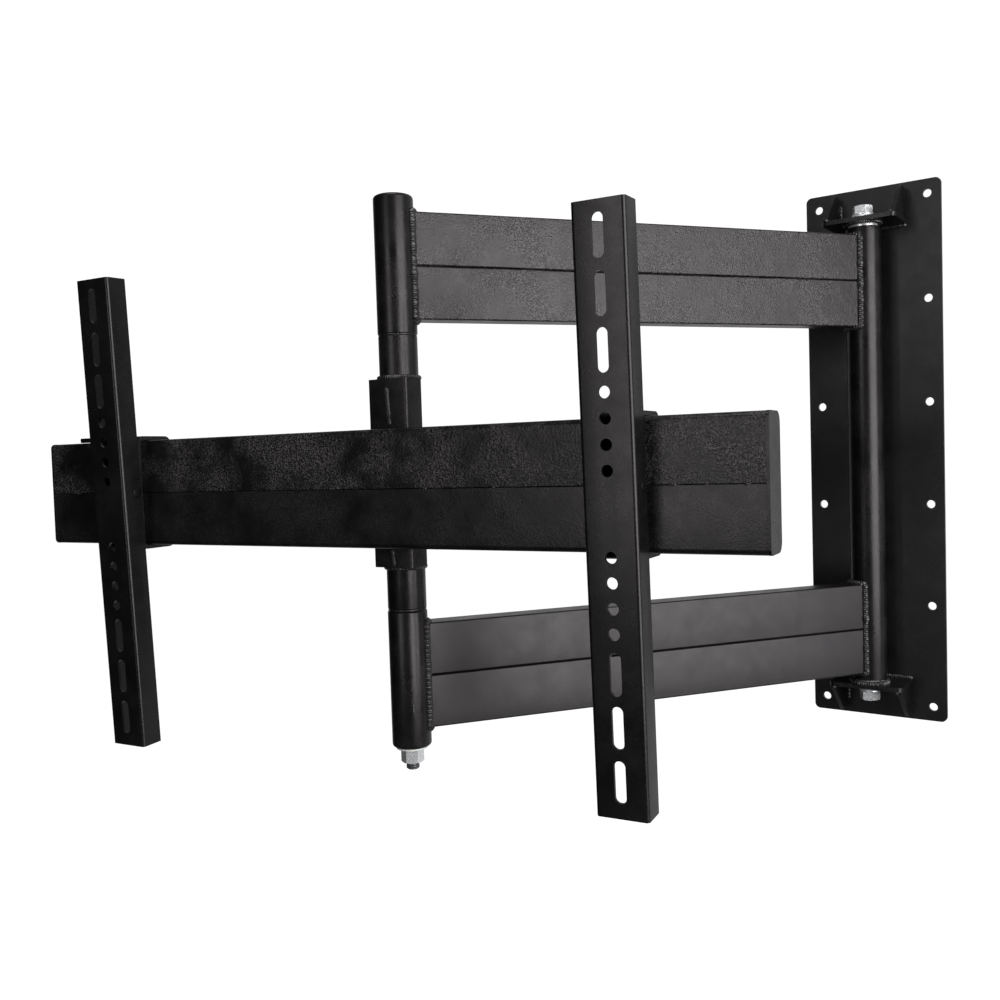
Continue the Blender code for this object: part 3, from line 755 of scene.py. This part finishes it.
near = PIN_OUT - SADDLE_PLAY
far = PIN_OUT + BAR_DEEP + SADDLE_PLAY
over = BAR_TALL + SADDLE_PLAY
face = near - SADDLE_SHEET
rear = far + SADDLE_SHEET
crown = over + SADDLE_SHEET
nose_corner = SADDLE_NOSE * 0.9
inner = rounded([(near, -over), (far, -over), (far, over), (near, over)], BAR_CORNER)
outer = rounded([(face, -crown), (rear, -crown), (rear, crown), (face, crown), (face, NOSE_ROOT),
                 (-SADDLE_NOSE, SADDLE_NOSE), (-SADDLE_NOSE, -SADDLE_NOSE), (face, -NOSE_ROOT)],
                [0.006, 0.008, 0.008, 0.006, 0.002, nose_corner, nose_corner, 0.002])
saddle = outline(outer, SADDLE_WIDE, [inner, circle(0, 0, PIN_BORE)])
between_cheeks = outline(rectangle(0.04, 0.06, 0, face - 0.02, 0), 0.0255)
saddle = combined(saddle, between_cheeks, "DIFFERENCE")
pin = disc(PIN_RADIUS, -RAIL_WIDE / 2, RAIL_WIDE / 2, 0.0006, 64)

w = RAIL_WIDE / 2
back = RAIL_DEEP - RAIL_FRONT
rail_corners = [(-w, back), (-w, -RAIL_FRONT), (w, -RAIL_FRONT), (w, back), (w - RAIL_SHEET, back),
                (w - RAIL_SHEET, RAIL_SHEET - RAIL_FRONT),
                (RAIL_SHEET - w, RAIL_SHEET - RAIL_FRONT), (RAIL_SHEET - w, back)]
rail = outline(rounded(rail_corners, [0, 0.0030, 0.0030, 0, 0, 0.0008, 0.0008, 0]), RAIL_TALL)
rail.transform(shift(0, 0, RAIL_CENTRE))
openings = []
for height in ROUND_HOLES:
    for v in (OPENING_LIFT + height, OPENING_LIFT - height):
        openings.append(circle(OPENING_X, v, OPENING_RADIUS, 40))
for height in LONG_SLOTS:
    for v in (OPENING_LIFT + height, OPENING_LIFT - height):
        openings.append(rectangle(2 * OPENING_RADIUS, SLOT_TALL, 0.00446, OPENING_X, v))
punch = outline(openings[0], 0.01, openings[1:])
rail = combined(rail, punch, "DIFFERENCE", shift(0, -RAIL_FRONT, RAIL_CENTRE) @ UPRIGHT)
rail = combined(rail, disc(PIN_BORE, -0.03, 0.03, steps=64), "DIFFERENCE", ALONG_X)

for hand, at in SLIDES:
    slide = HEAD @ shift(at, BAR_FRONT - PIN_OUT, BAR_CENTRE)
    lean = slide @ Matrix.Rotation(RAIL_TILT, 4, "X")
    skin("saddle_" + hand, saddle, slide @ SIDEWAYS, "slider_" + hand, COAT, bevel=0.0005)
    skin("tilt_pin_" + hand, pin, slide @ ALONG_X, "slider_" + hand, PIN_COAT)
    skin("rail_" + hand, rail, lean, "tilting_rail_" + hand, RAIL_COAT, bevel=0.0004)

# Floor ----------------------------------------------------------------------------------

floor_mesh = bpy.data.meshes.new("floor")
bm = bmesh.new()
bmesh.ops.create_grid(bm, x_segments=1, y_segments=1, size=20)
bm.to_mesh(floor_mesh)
bm.free()
floor = bpy.data.objects.new("floor", floor_mesh)
floor.location = (0, 0, -0.75)
bpy.context.scene.collection.objects.link(floor)
pale = Surface("pale_floor")
floor_mesh.materials.append(pale.finish(
    Base_Color=pale.mix(pale.noise(2, 2), (0.30, 0.30, 0.30), (0.32, 0.32, 0.32)),
    Emission_Color=(1, 1, 1, 1),
    Emission_Strength=0.93,
    Roughness=0.9,
))
floor.visible_diffuse = False
floor.visible_glossy = False

# Light ----------------------------------------------------------------------------------

# The ambient light grows from the front to the back. In front it fades towards the left too.
world = bpy.data.worlds.new("studio")
bpy.context.scene.world = world
world.use_nodes = True
world.node_tree.nodes.clear()
studio = Tree(world.node_tree)
direction = studio.add("ShaderNodeTexCoord").outputs["Generated"]
way = studio.add("ShaderNodeSeparateXYZ", {0: direction}).outputs
depthwise = studio.span(way["Y"], 0.10, 0.50, -0.15, 0.75, interpolation_type="SMOOTHSTEP")
sidewise = studio.span(way["X"], 0.10, 1.0, -0.85, 0.15)
rearward = studio.span(way["Y"], 0.0, 1.0, 0.0, 0.6)
shade = studio.maths("MULTIPLY", depthwise, studio.maths("MAXIMUM", sidewise, rearward))
ambient = studio.add("ShaderNodeBackground", {"Color": shade, "Strength": 1.0})
backdrop = studio.add("ShaderNodeBackground", {"Color": (1, 1, 1, 1), "Strength": 1.05})
seen = studio.add("ShaderNodeLightPath").outputs["Is Camera Ray"]
choose = studio.add("ShaderNodeMixShader", {0: seen, 1: ambient.outputs[0],
                                            2: backdrop.outputs[0]})
studio.add("ShaderNodeOutputWorld", {"Surface": choose.outputs[0]})


def softbox(name, place, target, wide, tall, power):
    light = bpy.data.lights.new(name, "AREA")
    light.shape = "RECTANGLE"
    light.size = wide
    light.size_y = tall
    light.energy = power
    obj = bpy.data.objects.new(name, light)
    obj.location = place
    facing = Vector(target) - Vector(place)
    obj.rotation_euler = facing.to_track_quat("-Z", "Y").to_euler()
    bpy.context.scene.collection.objects.link(obj)


softbox("right_box", (2.7, -1.15, 0.2), (-0.1, -0.3, 0), 2.5, 2.7, 122)
softbox("front_box", (-0.38, -3.0, 0.3), (0.0, -0.3, 0), 0.9, 1.8, 12.5)
softbox("top_box", (0.2, -1.3, 2.3), (-0.1, -0.3, 0), 1.6, 1.2, 24)

# Camera ---------------------------------------------------------------------------------

AZIMUTH = radians(35.079)
ELEVATION = radians(2.538)
ROLL = radians(-1.815)
CAMERA_AT = (0.29237, -1.13248, 0.01163)
SENSOR_WIDE = 36
FOCAL_WIDTHS = 1.003035

camera_data = bpy.data.cameras.new("camera")
camera_data.sensor_width = SENSOR_WIDE
camera_data.lens = SENSOR_WIDE * FOCAL_WIDTHS
camera_data.clip_start = 0.05
camera = bpy.data.objects.new("camera", camera_data)
forward = Vector((-sin(AZIMUTH) * cos(ELEVATION), cos(AZIMUTH) * cos(ELEVATION), -sin(ELEVATION)))
level = Vector((cos(AZIMUTH), sin(AZIMUTH), 0))
upward = level.cross(forward)
right = level * cos(ROLL) + upward * sin(ROLL)
above = upward * cos(ROLL) - level * sin(ROLL)
camera.matrix_world = axes(right, above, -forward, CAMERA_AT)
bpy.context.scene.collection.objects.link(camera)
bpy.context.scene.camera = camera
bpy.context.scene.view_settings.view_transform = "Standard"
